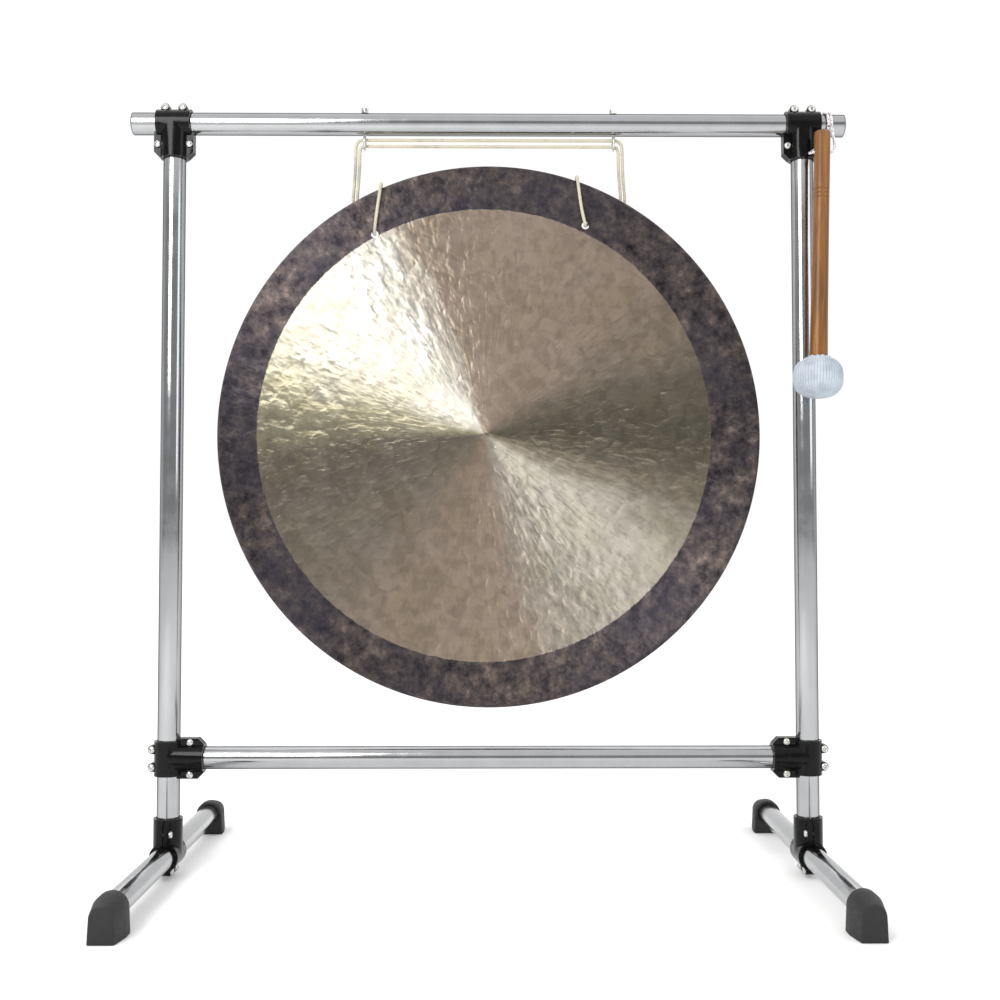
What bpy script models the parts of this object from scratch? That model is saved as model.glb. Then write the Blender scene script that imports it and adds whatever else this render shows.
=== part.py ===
"""A tam tam gong slung in a tubular steel stand, with its mallet. Metres, +Z up, the floor at z = 0."""
import math

import bpy
import bmesh
from mathutils import Matrix, Vector

# General
GAP = 0.0003                # left between neighbouring solids
CORD_SIDES = 2              # bevel resolution of the cord and the string
TUBE_SIDES = 20
CLAMP_SIDES = 16
SMALL_SIDES = 8

# Stand
TUBE_RADIUS = 0.016
TUBE_WALL = 0.0015
UPRIGHT_X = 0.457           # each upright's distance from the middle
BAR_Z = 1.084               # axis of the top bar
BAR_HALF = 0.5165
CROSSBAR_Z = 0.168
LEG_Z = 0.032
LEG_HALF = 0.282            # half of a leg's tube
BUTT = TUBE_RADIUS + 0.001  # how far a butting tube's end stays from the other tube's axis

# T clamp, in its own frame: the through tube lies along X, the butting tube comes from -Z
BARREL_RADIUS = 0.0205
BARREL_HALF = 0.0245
STEM_END = 0.0515
FLANGE_HALF = 0.0285
FLANGE_SHOULDER = 0.013
FLANGE_CHAMFER = 0.0085
PLATE_HALF = 0.008          # half thickness of the flange and the lugs
SPLIT_HALF = 0.0007         # half of the slit between the two shells
LUG = (0.0125, 0.0217)      # a lug bolt's x and z
LUG_RADIUS = 0.0063
STEM_BOLT = (0.0225, -0.032)
BOLT_HOLE = 0.0032
BOLT_RADIUS = 0.0028
BOLT_HEAD_RADIUS = 0.0052
BOLT_HEAD_HEIGHT = 0.0044
BOLT_REACH = 0.0155         # from under the head to the bolt's tip

# Rubber feet
FOOT_LENGTH = 0.048
FOOT_POCKET = 0.030
FOOT_REAR = (0.0205, 0.0525)    # half width and height where the tube goes in
FOOT_TOE = (0.0170, 0.0455)     # half width and height of the end face
FOOT_FLARE = 0.0025             # how much wider the sole is on each side

# Gong
GONG_Z = 0.631
GONG_RADIUS = 0.393
GONG_WALL = 0.0022
GONG_LIP = 0.0125           # where the turned-back rim ends, behind the hanging plane
GONG_ROLL = math.radians(2.5)
HOLE_SPREAD = math.radians(27.2)
HOLE_CIRCLE = 0.334
HOLE_RADIUS = 0.0055
GONG_STEPS = 48

# Eye bolts that carry the cord
EYE_X = 0.181
EYE_Z = 1.0563
EYE_RING = 0.0096
EYE_WIRE = 0.0018
EYE_SHANK = 0.003
EYE_POINTS = 18
NUT_RADIUS = 0.0058
NUT_HEIGHT = 0.0085

# Mallet
MALLET_TOP = Vector((0.4775, -0.0365, 1.063))
MALLET_HEART = Vector((0.4630, -0.0545, 0.707))
HANDLE_TOP_RADIUS = 0.0113
HANDLE_LOW_RADIUS = 0.0132
HANDLE_BITE = 0.016         # how far past the head's centre the handle goes
STRING_HOLE_DROP = 0.030
STRING_HOLE_RADIUS = 0.0032
CORE_RADIUS = 0.0245
CORE_HALF_HEIGHT = 0.0225
HEAD_RADIUS = 0.0352
HEAD_HALF_HEIGHT = 0.0292
HEAD_SQUARENESS = 0.78      # below 1 the head is flatter above and below than an ellipsoid
HEAD_SPANS = 9
CORD_RADIUS = 0.0024
STRING_RADIUS = 0.0021
STRING_TURN = TUBE_RADIUS + STRING_RADIUS + 0.0006

# The sling, one closed loop: each side leaves the top run, goes down behind the rim, and is
# threaded through its hole and over the rim before it comes back up beside itself.
SLING_LEFT = [
    (-0.110, 0.0000, 1.0518), (-0.170, 0.0000, 1.0518), (-0.1815, 0.0000, 1.0516),
    (-0.1863, 0.0003, 1.0494), (-0.1882, 0.0012, 1.0440), (-0.1890, 0.0045, 1.0250),
    (-0.1912, 0.0110, 1.0000), (-0.1930, 0.0158, 0.9830), (-0.1922, 0.0164, 0.9720),
    (-0.1880, 0.0125, 0.9610), (-0.1780, 0.0065, 0.9420), (-0.1680, 0.0030, 0.9260),
    (-0.1656, -0.0040, 0.9215), (-0.1653, -0.0105, 0.9230), (-0.1648, -0.0114, 0.9320),
    (-0.1625, -0.0102, 0.9520), (-0.1592, -0.0098, 0.9760), (-0.1575, -0.0092, 0.9880),
    (-0.1572, -0.0050, 0.9950), (-0.1574, 0.0030, 0.9978), (-0.1580, 0.0110, 0.9970),
    (-0.1600, 0.0165, 0.9890), (-0.1650, 0.0180, 0.9790), (-0.1750, 0.0195, 0.9690),
    (-0.1880, 0.0205, 0.9620), (-0.1975, 0.0198, 0.9680), (-0.1995, 0.0175, 0.9800),
    (-0.1972, 0.0118, 1.0000), (-0.1950, 0.0048, 1.0250), (-0.1942, 0.0012, 1.0440),
    (-0.1930, 0.0003, 1.0540), (-0.1880, 0.0000, 1.0598), (-0.1815, 0.0000, 1.0609),
    (-0.170, 0.0000, 1.0609), (-0.110, 0.0000, 1.0609),
]
SLING_RIGHT = [
    (0.110, 0.0000, 1.0609), (0.170, 0.0000, 1.0609), (0.1815, 0.0000, 1.0609),
    (0.1880, 0.0000, 1.0598), (0.1930, 0.0003, 1.0540), (0.1942, 0.0012, 1.0440),
    (0.1950, 0.0048, 1.0250), (0.1972, 0.0118, 1.0000), (0.1995, 0.0175, 0.9800),
    (0.1960, 0.0200, 0.9660), (0.1830, 0.0210, 0.9620), (0.1650, 0.0205, 0.9700),
    (0.1450, 0.0195, 0.9830), (0.1340, 0.0180, 0.9920), (0.1295, 0.0160, 1.0010),
    (0.1282, 0.0110, 1.0073), (0.1278, 0.0030, 1.0085), (0.1280, -0.0050, 1.0060),
    (0.1286, -0.0092, 0.9990), (0.1302, -0.0098, 0.9860), (0.1335, -0.0100, 0.9620),
    (0.1370, -0.0113, 0.9440), (0.1392, -0.0105, 0.9360), (0.1395, -0.0040, 0.9345),
    (0.1415, 0.0030, 0.9370), (0.1520, 0.0065, 0.9430), (0.1740, 0.0120, 0.9560),
    (0.1890, 0.0158, 0.9680), (0.1930, 0.0160, 0.9810), (0.1912, 0.0110, 1.0000),
    (0.1890, 0.0045, 1.0250), (0.1882, 0.0012, 1.0440), (0.1863, 0.0003, 1.0494),
    (0.1815, 0.0000, 1.0516), (0.170, 0.0000, 1.0518), (0.110, 0.0000, 1.0518),
]
SLING_ROUTE = SLING_LEFT + SLING_RIGHT

# The string: through the handle, up the front of the bar, twice round it, and back behind the handle
STRING_START = [
    (0.4650, -0.0380, 1.0330), (0.4720, -0.0380, 1.0330), (0.4850, -0.0380, 1.0325),
    (0.4925, -0.0382, 1.0350), (0.4950, -0.0350, 1.0450), (0.4960, -0.0275, 1.0580),
    (0.4962, -0.0213, 1.0700),
]
STRING_END = [
    (0.4882, -0.0070, 1.0625), (0.4865, -0.0150, 1.0560), (0.4790, -0.0205, 1.0480),
    (0.4680, -0.0225, 1.0400), (0.4612, -0.0285, 1.0345), (0.4606, -0.0350, 1.0332),
]
STRING_X = (0.4962, 0.4882)     # where the turns on the bar start and end
STRING_SWEEP = (math.radians(200), math.radians(-630))  # from the front of the bar, over it, twice round
STRING_POINTS = 26

SLOTS = {
    "chrome": ((0.72, 0.73, 0.75), 0.16, 1.0),
    "steel_bolt": ((0.66, 0.66, 0.67), 0.24, 1.0),
    "clamp_black": ((0.012, 0.012, 0.013), 0.28, 0.0),
    "foot_rubber": ((0.022, 0.022, 0.023), 0.62, 0.0),
    "gong_bronze": ((0.46, 0.39, 0.30), 0.32, 1.0),
    "sling_cord": ((0.78, 0.76, 0.68), 0.70, 0.0),
    "mallet_wood": ((0.47, 0.23, 0.09), 0.45, 0.0),
    "mallet_core": ((0.10, 0.09, 0.08), 0.80, 0.0),
    "mallet_cloth": ((0.80, 0.82, 0.86), 0.88, 0.0),
    "braided_string": ((0.80, 0.77, 0.78), 0.75, 0.0),
}


def start_scene():
    """Empties the scene and makes the collections for the object and for its cutters."""
    for old in list(bpy.data.objects):
        bpy.data.objects.remove(old, do_unlink=True)
    for name in ("tam_tam_gong", "cutters"):
        bpy.context.scene.collection.children.link(bpy.data.collections.new(name))


def material(slot):
    """The slot's Principled material, made on first use."""
    found = bpy.data.materials.get(slot)
    if found:
        return found
    color, roughness, metallic = SLOTS[slot]
    made = bpy.data.materials.new(slot)
    made.use_nodes = True
    shader = made.node_tree.nodes["Principled BSDF"]
    shader.inputs["Base Color"].default_value = (*color, 1.0)
    shader.inputs["Roughness"].default_value = roughness
    shader.inputs["Metallic"].default_value = metallic
    return made


def place(name, data, slot, matrix=Matrix()):
    """Adds one piece of the object, with its data, material and place."""
    piece = bpy.data.objects.new(name, data)
    piece.matrix_world = matrix
    bpy.data.collections["tam_tam_gong"].objects.link(piece)
    if not data.materials:
        data.materials.append(material(slot))
    return piece


def guide(name, data):
    """Adds a cutter or a shape to be joined, which isn't a piece."""
    shape = bpy.data.objects.new(name, data)
    shape.hide_render = True
    shape.display_type = "WIRE"
    bpy.data.collections["cutters"].objects.link(shape)
    return shape


def boolean(piece, other, operation):
    """Adds a Boolean of other to piece."""
    step = piece.modifiers.new(other.name, "BOOLEAN")
    step.operation = operation
    step.solver = "EXACT"
    step.object = other


def baked_mesh(shape, name):
    """The mesh that shape has after its modifiers; shape itself is removed."""
    bpy.context.view_layer.update()
    evaluated = shape.evaluated_get(bpy.context.evaluated_depsgraph_get())
    mesh = bpy.data.meshes.new_from_object(evaluated)
    mesh.name = name
    bpy.data.objects.remove(shape, do_unlink=True)
    return mesh


def smooth(mesh, angle=35.0):
    """Shades round faces smooth and keeps the edges sharper than angle, in degrees."""
    mesh.shade_smooth()
    mesh.set_sharp_from_angle(angle=math.radians(angle))


def mesh_from(bm, name):
    """A mesh with the content of a bmesh, faces pointing out."""
    bmesh.ops.recalc_face_normals(bm, faces=bm.faces[:])
    mesh = bpy.data.meshes.new(name)
    bm.to_mesh(mesh)
    bm.free()
    return mesh


def along(start, end):
    """The matrix that takes a shape centred on Z to the middle of the line from start to end."""
    line = Vector(end) - Vector(start)
    middle = (Vector(start) + Vector(end)) / 2
    return Matrix.Translation(middle) @ line.to_track_quat("Z", "Y").to_matrix().to_4x4()


def rod_mesh(name, radius, start, end, sides=TUBE_SIDES):
    """A round rod from start to end."""
    bm = bmesh.new()
    length = (Vector(end) - Vector(start)).length
    bmesh.ops.create_cone(bm, cap_ends=True, segments=sides, radius1=radius, radius2=radius,
                          depth=length, matrix=along(start, end))
    return mesh_from(bm, name)


def bore_mesh(name, radius, start, end, sides=TUBE_SIDES):
    """A rod whose flats, and not its edges, are at radius: a round piece of that radius clears it."""
    return rod_mesh(name, radius / math.cos(math.pi / sides), start, end, sides)


def box_mesh(name, low, high):
    """A box between two corners."""
    bm = bmesh.new()
    size = Vector(high) - Vector(low)
    middle = (Vector(high) + Vector(low)) / 2
    bmesh.ops.create_cube(bm, size=1.0, matrix=Matrix.Translation(middle) @ Matrix.Diagonal((*size, 1)))
    return mesh_from(bm, name)


def slab_mesh(name, outline, half):
    """A flat outline in the XZ plane, half thick on each side of it."""
    bm = bmesh.new()
    face = bm.faces.new([bm.verts.new((x, -half, z)) for x, z in outline])
    swept = bmesh.ops.extrude_face_region(bm, geom=[face])["geom"]
    moved = [item for item in swept if isinstance(item, bmesh.types.BMVert)]
    bmesh.ops.translate(bm, verts=moved, vec=(0, 2 * half, 0))
    return mesh_from(bm, name)


def turned_mesh(name, profile, steps, closed=False):
    """A profile of (radius, height) turned about Z; it runs down its outer side."""
    mesh = bpy.data.meshes.new(name)
    last = len(profile)
    edges = [(i, i + 1) for i in range(last - 1)]
    if closed:
        edges.append((last - 1, 0))
    mesh.from_pydata([(radius, 0, height) for radius, height in profile], edges, [])
    blank = guide(name + "_blank", mesh)
    screw = blank.modifiers.new("turn", "SCREW")
    screw.steps = steps
    screw.render_steps = steps
    screw.use_merge_vertices = True
    screw.merge_threshold = 0.00001
    solid = baked_mesh(blank, name)
    smooth(solid)
    return solid


def arc(center, radius, first, last, count):
    """Points (x, z) on an arc, from first to last in degrees."""
    turns = [math.radians(first + (last - first) * i / (count - 1)) for i in range(count)]
    return [(center[0] + radius * math.cos(t), center[1] + radius * math.sin(t)) for t in turns]


def smooth_route(points, steps):
    """Points on a smooth curve through the route's own points, without its last point."""
    last = len(points) - 1
    spots = [Vector(point) for point in points]
    made = []
    for i in range(last):
        before, start, end, after = (spots[max(0, min(last, k))] for k in range(i - 1, i + 3))
        for k in range(steps):
            t = k / steps
            made.append(0.5 * (2 * start + (end - before) * t
                               + (2 * before - 5 * start + 4 * end - after) * t ** 2
                               + (3 * start - before - 3 * end + after) * t ** 3))
    return made


def loop_curve(name, points, radius):
    """A closed tube along points."""
    curve = bpy.data.curves.new(name, "CURVE")
    curve.dimensions = "3D"
    curve.bevel_depth = radius
    curve.bevel_resolution = CORD_SIDES
    curve.render_resolution_u = 0
    spline = curve.splines.new("POLY")
    spline.points.add(len(points) - 1)
    for spot, point in zip(spline.points, points):
        spot.co = (*point, 1)
    spline.use_cyclic_u = True
    return curve


def tube(name, start, end):
    """A chromed tube with open ends."""
    half = (Vector(end) - Vector(start)).length / 2
    inner = TUBE_RADIUS - TUBE_WALL
    profile = [(TUBE_RADIUS, half), (TUBE_RADIUS, -half), (inner, -half), (inner, half)]
    mesh = turned_mesh(name, profile, TUBE_SIDES, closed=True)
    return place(name, mesh, "chrome", along(start, end))


def bar_caps():
    """The domed plugs in the ends of the top bar."""
    plug = TUBE_RADIUS - TUBE_WALL - GAP
    profile = [(0, 0.0034), (0.011, 0.0030), (TUBE_RADIUS, GAP), (plug, GAP), (plug, -0.012), (0, -0.012)]
    mesh = turned_mesh("bar_cap", profile, TUBE_SIDES)
    for side, sign in (("left", -1), ("right", 1)):
        turn = Matrix.Rotation(sign * math.pi / 2, 4, "Y")
        place(f"{side}_bar_cap", mesh, "chrome", Matrix.Translation((sign * BAR_HALF, 0, BAR_Z)) @ turn)


def clamp_outline():
    """The clamp's flat outline: a chamfered flange below and two lugs above."""
    right = [(FLANGE_HALF - FLANGE_CHAMFER, -STEM_END), (FLANGE_HALF, -STEM_END + FLANGE_CHAMFER),
             (FLANGE_HALF, -FLANGE_SHOULDER), (BARREL_HALF, -FLANGE_SHOULDER / 2),
             (BARREL_HALF, BARREL_HALF / 2), (LUG[0] + LUG_RADIUS, BARREL_RADIUS - 0.004)]
    right += arc(LUG, LUG_RADIUS, 0, 180, 6)
    right.append((LUG[0] - LUG_RADIUS, TUBE_RADIUS + 0.001))
    return right + [(-x, z) for x, z in reversed(right)]


def clamp_half_mesh(name, sign):
    """One shell of a T clamp: sign -1 is the front shell, +1 the rear one."""
    shell = guide(name, slab_mesh(name, clamp_outline(), PLATE_HALF))
    boolean(shell, guide("barrel", rod_mesh("barrel", BARREL_RADIUS, (-BARREL_HALF, 0, 0),
                                            (BARREL_HALF, 0, 0), CLAMP_SIDES)), "UNION")
    stem = rod_mesh("stem", BARREL_RADIUS, (0, 0, -STEM_END), (0, 0, 0), CLAMP_SIDES)
    boolean(shell, guide("stem", stem), "UNION")
    for name, start, end in (("bore", (-0.1, 0, 0), (0.1, 0, 0)), ("socket", (0, 0, -0.1), (0, 0, 0))):
        hollow = bore_mesh(name, TUBE_RADIUS + GAP, start, end, CLAMP_SIDES)
        boolean(shell, guide(name, hollow), "DIFFERENCE")
    for x, z in (LUG, STEM_BOLT):
        for side in (-1, 1):
            rod = bore_mesh("bolt_hole", BOLT_HOLE, (side * x, -0.03, z), (side * x, 0.03, z), SMALL_SIDES)
            boolean(shell, guide("bolt_hole", rod), "DIFFERENCE")
            seat = bore_mesh("bolt_seat", BOLT_HEAD_RADIUS + GAP, (side * x, -0.03, z),
                             (side * x, -PLATE_HALF, z), SMALL_SIDES)
            boolean(shell, guide("bolt_seat", seat), "DIFFERENCE")
    near, far = sorted((sign * SPLIT_HALF, -sign * 0.1))
    boolean(shell, guide("split", box_mesh("split", (-0.1, near, -0.1), (0.1, far, 0.1))), "DIFFERENCE")
    mesh = baked_mesh(shell, name)
    smooth(mesh)
    return mesh


def bolt_mesh():
    """A dome-headed bolt along Z, its head above z = 0."""
    profile = [(0, BOLT_HEAD_HEIGHT), (BOLT_HEAD_RADIUS * 0.7, BOLT_HEAD_HEIGHT * 0.85),
               (BOLT_HEAD_RADIUS, BOLT_HEAD_HEIGHT * 0.45), (BOLT_HEAD_RADIUS, GAP), (BOLT_RADIUS, GAP),
               (BOLT_RADIUS, -BOLT_REACH), (0, -BOLT_REACH)]
    return turned_mesh("clamp_bolt", profile, SMALL_SIDES)


def clamp_frames():
    """Each clamp's name and its matrix: local X along the through tube, local -Z to the butting one."""
    frames = {}
    for side, sign in (("left", -1), ("right", 1)):
        x = sign * UPRIGHT_X
        frames[f"{side}_top"] = Matrix.Translation((x, 0, BAR_Z))
        frames[f"{side}_crossbar"] = (Matrix.Translation((x, 0, CROSSBAR_Z))
                                      @ Matrix.Rotation(sign * math.pi / 2, 4, "Y"))
        frames[f"{side}_leg"] = (Matrix.Translation((x, 0, LEG_Z)) @ Matrix.Rotation(sign * math.pi / 2, 4, "Z")
                                 @ Matrix.Rotation(math.pi, 4, "X"))
    return frames


def clamps():
    """The six T clamps, each of two shells and four bolts."""
    shells = {"front": clamp_half_mesh("front_shell", -1), "rear": clamp_half_mesh("rear_shell", 1)}
    bolt = bolt_mesh()
    seats = [(x * side, z) for x, z in (LUG, STEM_BOLT) for side in (-1, 1)]
    for clamp, frame in clamp_frames().items():
        for half, mesh in shells.items():
            place(f"{clamp}_clamp_{half}", mesh, "clamp_black", frame)
        for number, (x, z) in enumerate(seats, 1):
            seat = Matrix.Translation((x, -PLATE_HALF, z)) @ Matrix.Rotation(math.pi / 2, 4, "X")
            place(f"{clamp}_clamp_bolt_{number}", bolt, "steel_bolt", frame @ seat)


def foot_section(half, height, y):
    """A D-shaped section: a flat flared sole, upright sides and a round top."""
    top = arc((0, height - half), half, 0, 180, 9)
    points = [(half + FOOT_FLARE, 0)] + top + [(-half - FOOT_FLARE, 0)]
    return [(x, y, z) for x, z in points]


def foot_mesh():
    """A rubber foot with its toe at -Y, cut by the pocket that takes the leg's end."""
    bm = bmesh.new()
    rings = []
    for half, height, y in ((*FOOT_REAR, FOOT_LENGTH), (*FOOT_REAR, FOOT_LENGTH - 0.018), (*FOOT_TOE, 0)):
        rings.append([bm.verts.new(point) for point in foot_section(half, height, y)])
    count = len(rings[0])
    for ring, following in zip(rings, rings[1:]):
        for i in range(count):
            bm.faces.new((ring[i], ring[(i + 1) % count], following[(i + 1) % count], following[i]))
    bm.faces.new(rings[0])
    bm.faces.new(list(reversed(rings[-1])))
    blank = guide("foot", mesh_from(bm, "foot"))
    edge = blank.modifiers.new("edge", "BEVEL")
    edge.width = 0.0012
    edge.segments = 1
    edge.angle_limit = math.radians(40)
    floor = FOOT_LENGTH - FOOT_POCKET
    pocket = bore_mesh("pocket", TUBE_RADIUS + GAP, (0, floor, LEG_Z), (0, FOOT_LENGTH + 0.02, LEG_Z))
    boolean(blank, guide("pocket", pocket), "DIFFERENCE")
    mesh = baked_mesh(blank, "foot")
    smooth(mesh)
    return mesh


def feet():
    """The four rubber feet, toes outwards."""
    mesh = foot_mesh()
    reach = LEG_HALF + GAP + FOOT_LENGTH - FOOT_POCKET
    for side, x in (("left", -UPRIGHT_X), ("right", UPRIGHT_X)):
        place(f"{side}_front_foot", mesh, "foot_rubber", Matrix.Translation((x, -reach, 0)))
        place(f"{side}_rear_foot", mesh, "foot_rubber",
              Matrix.Translation((x, reach, 0)) @ Matrix.Rotation(math.pi, 4, "Z"))


def top_bar():
    """The top bar, drilled for the two eye bolts."""
    bar = tube("top_bar", (-BAR_HALF, 0, BAR_Z), (BAR_HALF, 0, BAR_Z))
    for x in (-EYE_X, EYE_X):
        ends = ((x, 0, BAR_Z - 0.03), (x, 0, BAR_Z + 0.03))
        drill = bore_mesh("eye_drill", EYE_SHANK + GAP, *ends, SMALL_SIDES)
        boolean(bar, guide("eye_drill", drill), "DIFFERENCE")


def stand_tubes():
    """The uprights, the two bars and the legs."""
    top_bar()
    end = UPRIGHT_X - BUTT
    tube("lower_crossbar", (-end, 0, CROSSBAR_Z), (end, 0, CROSSBAR_Z))
    for side, x in (("left", -UPRIGHT_X), ("right", UPRIGHT_X)):
        tube(f"{side}_upright", (x, 0, LEG_Z + BUTT), (x, 0, BAR_Z - BUTT))
        tube(f"{side}_leg", (x, -LEG_HALF, LEG_Z), (x, LEG_HALF, LEG_Z))


def eye_bolts():
    """The eye bolts under the top bar and their domed nuts on it."""
    top = BAR_Z + TUBE_RADIUS + 0.006 - EYE_Z
    shank = rod_mesh("shank", EYE_SHANK, (0, 0, EYE_RING), (0, 0, top), SMALL_SIDES)
    bore = EYE_SHANK + 2 * GAP
    dome = arc((0, NUT_HEIGHT - NUT_RADIUS), NUT_RADIUS, 90, 0, 4)
    nut = turned_mesh("eye_nut", dome + [(NUT_RADIUS, 0), (bore, 0), (bore, 0.0062), (0, 0.0062)], 12)
    for side, x in (("left", -EYE_X), ("right", EYE_X)):
        turns = [2 * math.pi * i / EYE_POINTS for i in range(EYE_POINTS)]
        circle = [(0, EYE_RING * math.cos(t), EYE_RING * math.sin(t)) for t in turns]
        ring = loop_curve(f"{side}_ring", circle, EYE_WIRE)
        blank = guide(f"{side}_ring_blank", ring)
        eye = guide(f"{side}_eye", baked_mesh(blank, f"{side}_eye"))
        boolean(eye, guide("shank", shank), "UNION")
        mesh = baked_mesh(eye, f"{side}_eye_bolt")
        smooth(mesh)
        place(f"{side}_eye_bolt", mesh, "steel_bolt", Matrix.Translation((x, 0, EYE_Z)))
        seat = BAR_Z + TUBE_RADIUS + GAP
        place(f"{side}_eye_nut", nut, "steel_bolt", Matrix.Translation((x, 0, seat)))


def gong_profile():
    """The gong's section as (radius, depth): the hammered face, and the rim turned back."""
    rim = 0.011
    face = [(0, 0.0105), (0.15, 0.0094), (0.27, 0.0074), (0.345, 0.0064)]
    corner = GONG_RADIUS - rim
    outer = face + arc((corner, 0.0060 - rim), rim, 90, 0, 4) + [(GONG_RADIUS - 0.002, -GONG_LIP)]
    inner_radius = rim - GONG_WALL
    back = [(GONG_RADIUS - 0.002 - GONG_WALL, -GONG_LIP)]
    back += arc((corner, 0.0060 - rim), inner_radius, 0, 90, 4)
    back += [(radius, depth - GONG_WALL) for radius, depth in reversed(face)]
    return outer + back


def gong(axis):
    """The gong, with its origin on the line that it swings about."""
    mesh = turned_mesh("gong", gong_profile(), GONG_STEPS)
    mesh.transform(Matrix.Rotation(math.pi / 2, 4, "X"))
    mesh.transform(Matrix.Translation((0, 0, GONG_Z - EYE_Z)))
    disc = place("gong", mesh, "gong_bronze")
    disc.parent = axis
    for side in (-1, 1):
        turn = math.pi / 2 + GONG_ROLL + side * HOLE_SPREAD
        x, z = HOLE_CIRCLE * math.cos(turn), GONG_Z + HOLE_CIRCLE * math.sin(turn)
        drill = bore_mesh("gong_drill", HOLE_RADIUS, (x, -0.03, z), (x, 0.03, z), 12)
        boolean(disc, guide("gong_drill", drill), "DIFFERENCE")


def sling(axis):
    """The cord that carries the gong, one loop through both eyes and both holes."""
    points = [Vector(point) - axis.location for point in SLING_ROUTE]
    place("sling_cord", loop_curve("sling_cord", points, CORD_RADIUS), "sling_cord").parent = axis


def axis_empty(name, spot):
    """An empty on a joint's axis, for the pieces that turn about it."""
    empty = bpy.data.objects.new(name, None)
    empty.location = spot
    bpy.data.collections["tam_tam_gong"].objects.link(empty)
    return empty


def handle_profile():
    """The wooden handle's section, top at z = 0, with three turned grooves."""
    length = (MALLET_HEART - MALLET_TOP).length + HANDLE_BITE
    top = [(0, 0), (HANDLE_TOP_RADIUS - 0.0022, -0.0002), (HANDLE_TOP_RADIUS - 0.0006, -0.0010),
           (HANDLE_TOP_RADIUS, -0.0028)]
    grooves = []
    for depth in (0.086, 0.092, 0.098):
        grooves += [(HANDLE_TOP_RADIUS, -depth + 0.0010), (HANDLE_TOP_RADIUS - 0.0007, -depth),
                    (HANDLE_TOP_RADIUS, -depth - 0.0010)]
    waist = [(HANDLE_TOP_RADIUS + 0.0006, -0.190), (HANDLE_LOW_RADIUS, -length + 0.045),
             (HANDLE_LOW_RADIUS, -length), (0, -length)]
    return top + grooves + waist


def round_profile(radius, height, squareness, mouth):
    """A head's outside, from a mouth of the given radius round its top down to its lowest point."""
    first = math.acos((mouth / radius) ** (1 / squareness))
    turns = [first + (-math.pi / 2 - first) * i / HEAD_SPANS for i in range(HEAD_SPANS)]
    curve = [(radius * math.cos(t) ** squareness,
              height * math.copysign(abs(math.sin(t)) ** squareness, t)) for t in turns]
    return curve + [(0, -height)]


def core_profile():
    """The core's section about the head's centre, open at the top for the handle."""
    bore = (HANDLE_LOW_RADIUS + GAP) / math.cos(math.pi / CLAMP_SIDES)
    low = -HANDLE_BITE - GAP
    return [(0, low), (bore, low)] + round_profile(CORE_RADIUS, CORE_HALF_HEIGHT, 1.0, bore + 0.002)


def cover_profile():
    """The cloth cover's section, its inside a little larger than the core."""
    outside = round_profile(HEAD_RADIUS, HEAD_HALF_HEIGHT, HEAD_SQUARENESS, HANDLE_LOW_RADIUS + 0.002)
    room = (CORE_RADIUS + GAP) / math.cos(math.pi / TUBE_SIDES)
    inside = round_profile(room, CORE_HALF_HEIGHT + 2 * GAP, 1.0, HANDLE_LOW_RADIUS + 0.001)
    return inside[::-1] + outside


def mallet(axis):
    """The mallet's handle, core and cloth cover, hanging beside the right upright."""
    upright = Vector((0, 0, 1))
    lean = upright.rotation_difference(MALLET_TOP - MALLET_HEART).to_matrix().to_4x4()
    away = Matrix.Translation(-axis.location)
    top = away @ Matrix.Translation(MALLET_TOP) @ lean
    heart = away @ Matrix.Translation(MALLET_HEART) @ lean
    handle = place("mallet_handle", turned_mesh("mallet_handle", handle_profile(), CLAMP_SIDES), "mallet_wood", top)
    drill = bore_mesh("string_drill", STRING_HOLE_RADIUS, (-0.03, 0, -STRING_HOLE_DROP),
                      (0.03, 0, -STRING_HOLE_DROP), SMALL_SIDES)
    cutter = guide("string_drill", drill)
    cutter.matrix_world = Matrix.Translation(MALLET_TOP) @ lean
    boolean(handle, cutter, "DIFFERENCE")
    core = turned_mesh("mallet_core", core_profile(), CLAMP_SIDES)
    place("mallet_core", core, "mallet_core", heart).parent = axis
    cover = turned_mesh("mallet_cover", cover_profile(), TUBE_SIDES)
    place("mallet_cover", cover, "mallet_cloth", heart).parent = axis
    handle.parent = axis


def string(axis):
    """The braided string that hangs the mallet on the end of the top bar."""
    turns = []
    for i in range(STRING_POINTS):
        share = i / (STRING_POINTS - 1)
        turn = STRING_SWEEP[0] + share * STRING_SWEEP[1]
        x = STRING_X[0] + share * (STRING_X[1] - STRING_X[0])
        turns.append((x, STRING_TURN * math.cos(turn), BAR_Z + STRING_TURN * math.sin(turn)))
    points = smooth_route(STRING_START, 2) + turns + smooth_route(STRING_END, 2)
    points = [Vector(point) - axis.location for point in points]
    place("mallet_string", loop_curve("mallet_string", points, STRING_RADIUS), "braided_string").parent = axis


def main():
    start_scene()
    stand_tubes()
    bar_caps()
    clamps()
    feet()
    eye_bolts()
    swing = axis_empty("gong_axis", (0, 0, EYE_Z))
    gong(swing)
    sling(swing)
    hang = axis_empty("mallet_axis", (MALLET_TOP.x, 0, BAR_Z))
    mallet(hang)
    string(hang)


main()
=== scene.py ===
"""The looks of a tam tam gong slung in its tubular stand, with its mallet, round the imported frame.

Metres, +Z up, the front at -Y. Each CAD node that shows is replaced by a finer piece of the same design.
"""
import math

import bpy
import bmesh
from mathutils import Matrix, Vector, noise


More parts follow.
